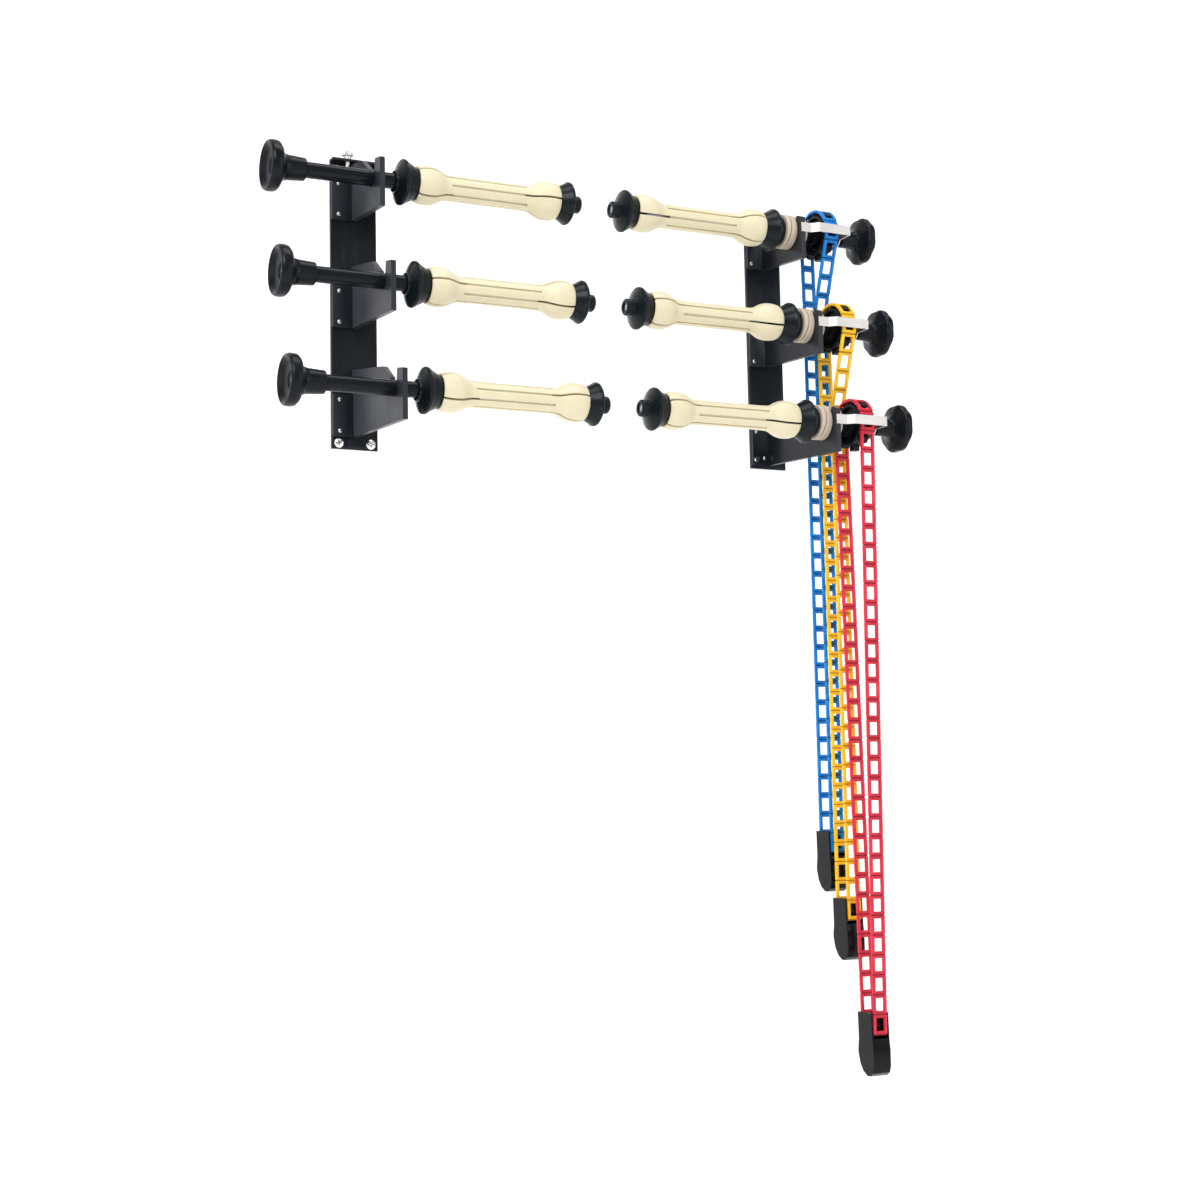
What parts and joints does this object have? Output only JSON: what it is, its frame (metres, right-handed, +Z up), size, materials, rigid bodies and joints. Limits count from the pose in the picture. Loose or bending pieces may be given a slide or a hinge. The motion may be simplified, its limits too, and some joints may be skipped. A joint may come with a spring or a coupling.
{
  "type": "backdrop roller bracket set",
  "caption": "Wall-mounted backdrop paper holder: staggered arms carry expander bars that grip paper cores; coloured ladder chains with hanging weights turn the bars.",
  "frame": {"origin": "middle of the drive plate's back face, on the wall plane", "axes": "+X along the bars from the idle bracket to the drive bracket, +Y into the wall, +Z up"},
  "size_m": [0.781, 0.2025, 1.0731],
  "materials": {
    "black_paint": "satin powder coat",
    "tube_paint": "gloss",
    "cone_plastic": "moulded",
    "knob_plastic": "moulded",
    "sprocket_plastic": "moulded",
    "weight_plastic": "moulded",
    "cream_plastic": "semi-gloss moulded",
    "tan_plastic": "turned",
    "chain_blue": "moulded",
    "chain_yellow": "moulded",
    "chain_red": "moulded",
    "guide_steel": "satin",
    "spindle_steel": "bright drawn",
    "screw_chrome": "polished",
    "lock_screw_metal": "knurled",
    "rivet_metal": "domed"
  },
  "bodies": {
    "wall_brackets": {"idle_wall_plate": "black_paint", "drive_wall_plate": "black_paint", "idle_wall_screws": "screw_chrome", "idle_lock_screw": "lock_screw_metal", "idle_arm_rivets": "rivet_metal", "drive_arm_rivets": "rivet_metal", "idle_arm_top": "black_paint", "drive_arm_top": "black_paint", "drive_bush_top": "tan_plastic", "drive_chain_guide_top": "guide_steel", "idle_arm_middle": "black_paint", "drive_arm_middle": "black_paint", "drive_bush_middle": "tan_plastic", "drive_chain_guide_middle": "guide_steel", "idle_arm_bottom": "black_paint", "drive_arm_bottom": "black_paint", "drive_bush_bottom": "tan_plastic", "drive_chain_guide_bottom": "guide_steel"},
    "idle_bar_top": {"idle_tube_top": "tube_paint", "idle_inner_cone_top": "cone_plastic", "idle_sleeve_top": "cream_plastic"},
    "idle_knob_top": {"idle_knob_top": "knob_plastic", "idle_spindle_top": "spindle_steel"},
    "idle_tip_top": {"idle_outer_cone_top": "cone_plastic"},
    "drive_bar_top": {"drive_sprocket_top": "sprocket_plastic", "drive_inner_cone_top": "cone_plastic", "drive_sleeve_top": "cream_plastic"},
    "drive_knob_top": {"drive_knob_top": "knob_plastic", "drive_spindle_top": "spindle_steel"},
    "drive_tip_top": {"drive_outer_cone_top": "cone_plastic"},
    "hanging_chain_top": {"chain_top": "chain_blue", "chain_weight_top": "weight_plastic"},
    "idle_bar_middle": {"idle_tube_middle": "tube_paint", "idle_inner_cone_middle": "cone_plastic", "idle_sleeve_middle": "cream_plastic"},
    "idle_knob_middle": {"idle_knob_middle": "knob_plastic", "idle_spindle_middle": "spindle_steel"},
    "idle_tip_middle": {"idle_outer_cone_middle": "cone_plastic"},
    "drive_bar_middle": {"drive_sprocket_middle": "sprocket_plastic", "drive_inner_cone_middle": "cone_plastic", "drive_sleeve_middle": "cream_plastic"},
    "drive_knob_middle": {"drive_knob_middle": "knob_plastic", "drive_spindle_middle": "spindle_steel"},
    "drive_tip_middle": {"drive_outer_cone_middle": "cone_plastic"},
    "hanging_chain_middle": {"chain_middle": "chain_yellow", "chain_weight_middle": "weight_plastic"},
    "idle_bar_bottom": {"idle_tube_bottom": "tube_paint", "idle_inner_cone_bottom": "cone_plastic", "idle_sleeve_bottom": "cream_plastic"},
    "idle_knob_bottom": {"idle_knob_bottom": "knob_plastic", "idle_spindle_bottom": "spindle_steel"},
    "idle_tip_bottom": {"idle_outer_cone_bottom": "cone_plastic"},
    "drive_bar_bottom": {"drive_sprocket_bottom": "sprocket_plastic", "drive_inner_cone_bottom": "cone_plastic", "drive_sleeve_bottom": "cream_plastic"},
    "drive_knob_bottom": {"drive_knob_bottom": "knob_plastic", "drive_spindle_bottom": "spindle_steel"},
    "drive_tip_bottom": {"drive_outer_cone_bottom": "cone_plastic"},
    "hanging_chain_bottom": {"chain_bottom": "chain_red", "chain_weight_bottom": "weight_plastic"}
  },
  "joints": [
    {"name": "idle_bar_spin_top", "type": "hinge", "parent": "wall_brackets", "child": "idle_bar_top", "pos_m": [-0.548, -0.074, 0.134], "axis": [1, 0, 0], "continuous": true},
    {"name": "idle_knob_turn_top", "type": "hinge", "parent": "idle_bar_top", "child": "idle_knob_top", "pos_m": [-0.548, -0.074, 0.134], "axis": [1, 0, 0], "range_deg": [0, 720]},
    {"name": "idle_tip_slide_top", "type": "slide", "parent": "idle_bar_top", "child": "idle_tip_top", "axis": [1, 0, 0], "range_m": [0, 0.006]},
    {"name": "drive_bar_spin_top", "type": "hinge", "parent": "wall_brackets", "child": "drive_bar_top", "pos_m": [0, -0.074, 0.134], "axis": [1, 0, 0], "continuous": true, "deforming": ["chain_top"]},
    {"name": "drive_knob_turn_top", "type": "hinge", "parent": "drive_bar_top", "child": "drive_knob_top", "pos_m": [0, -0.074, 0.134], "axis": [-1, 0, 0], "range_deg": [0, 720]},
    {"name": "drive_tip_slide_top", "type": "slide", "parent": "drive_bar_top", "child": "drive_tip_top", "axis": [-1, 0, 0], "range_m": [0, 0.006]},
    {"name": "chain_swing_top", "type": "hinge", "parent": "wall_brackets", "child": "hanging_chain_top", "pos_m": [0.04, -0.074, 0.134], "axis": [1, 0, 0], "range_deg": [0, 2]},
    {"name": "idle_bar_spin_middle", "type": "hinge", "parent": "wall_brackets", "child": "idle_bar_middle", "pos_m": [-0.548, -0.106, 0.008], "axis": [1, 0, 0], "continuous": true},
    {"name": "idle_knob_turn_middle", "type": "hinge", "parent": "idle_bar_middle", "child": "idle_knob_middle", "pos_m": [-0.548, -0.106, 0.008], "axis": [1, 0, 0], "range_deg": [0, 720]},
    {"name": "idle_tip_slide_middle", "type": "slide", "parent": "idle_bar_middle", "child": "idle_tip_middle", "axis": [1, 0, 0], "range_m": [0, 0.006]},
    {"name": "drive_bar_spin_middle", "type": "hinge", "parent": "wall_brackets", "child": "drive_bar_middle", "pos_m": [0, -0.106, 0.008], "axis": [1, 0, 0], "continuous": true, "deforming": ["chain_middle"]},
    {"name": "drive_knob_turn_middle", "type": "hinge", "parent": "drive_bar_middle", "child": "drive_knob_middle", "pos_m": [0, -0.106, 0.008], "axis": [-1, 0, 0], "range_deg": [0, 720]},
    {"name": "drive_tip_slide_middle", "type": "slide", "parent": "drive_bar_middle", "child": "drive_tip_middle", "axis": [-1, 0, 0], "range_m": [0, 0.006]},
    {"name": "chain_swing_middle", "type": "hinge", "parent": "wall_brackets", "child": "hanging_chain_middle", "pos_m": [0.04, -0.106, 0.008], "axis": [1, 0, 0], "range_deg": [0, 0.3]},
    {"name": "idle_bar_spin_bottom", "type": "hinge", "parent": "wall_brackets", "child": "idle_bar_bottom", "pos_m": [-0.548, -0.138, -0.118], "axis": [1, 0, 0], "continuous": true},
    {"name": "idle_knob_turn_bottom", "type": "hinge", "parent": "idle_bar_bottom", "child": "idle_knob_bottom", "pos_m": [-0.548, -0.138, -0.118], "axis": [1, 0, 0], "range_deg": [0, 720]},
    {"name": "idle_tip_slide_bottom", "type": "slide", "parent": "idle_bar_bottom", "child": "idle_tip_bottom", "axis": [1, 0, 0], "range_m": [0, 0.006]},
    {"name": "drive_bar_spin_bottom", "type": "hinge", "parent": "wall_brackets", "child": "drive_bar_bottom", "pos_m": [0, -0.138, -0.118], "axis": [1, 0, 0], "continuous": true, "deforming": ["chain_bottom"]},
    {"name": "drive_knob_turn_bottom", "type": "hinge", "parent": "drive_bar_bottom", "child": "drive_knob_bottom", "pos_m": [0, -0.138, -0.118], "axis": [-1, 0, 0], "range_deg": [0, 720]},
    {"name": "drive_tip_slide_bottom", "type": "slide", "parent": "drive_bar_bottom", "child": "drive_tip_bottom", "axis": [-1, 0, 0], "range_m": [0, 0.006]},
    {"name": "chain_swing_bottom", "type": "hinge", "parent": "wall_brackets", "child": "hanging_chain_bottom", "pos_m": [0.04, -0.138, -0.118], "axis": [1, 0, 0], "range_deg": [-12, 1]}
  ],
  "couplings": [
    {"joint": "idle_tip_slide_top", "follows": "idle_knob_turn_top", "m_per_rad": 0.00047746},
    {"joint": "drive_tip_slide_top", "follows": "drive_knob_turn_top", "m_per_rad": 0.00047746},
    {"joint": "idle_tip_slide_middle", "follows": "idle_knob_turn_middle", "m_per_rad": 0.00047746},
    {"joint": "drive_tip_slide_middle", "follows": "drive_knob_turn_middle", "m_per_rad": 0.00047746},
    {"joint": "idle_tip_slide_bottom", "follows": "idle_knob_turn_bottom", "m_per_rad": 0.00047746},
    {"joint": "drive_tip_slide_bottom", "follows": "drive_knob_turn_bottom", "m_per_rad": 0.00047746}
  ]
}
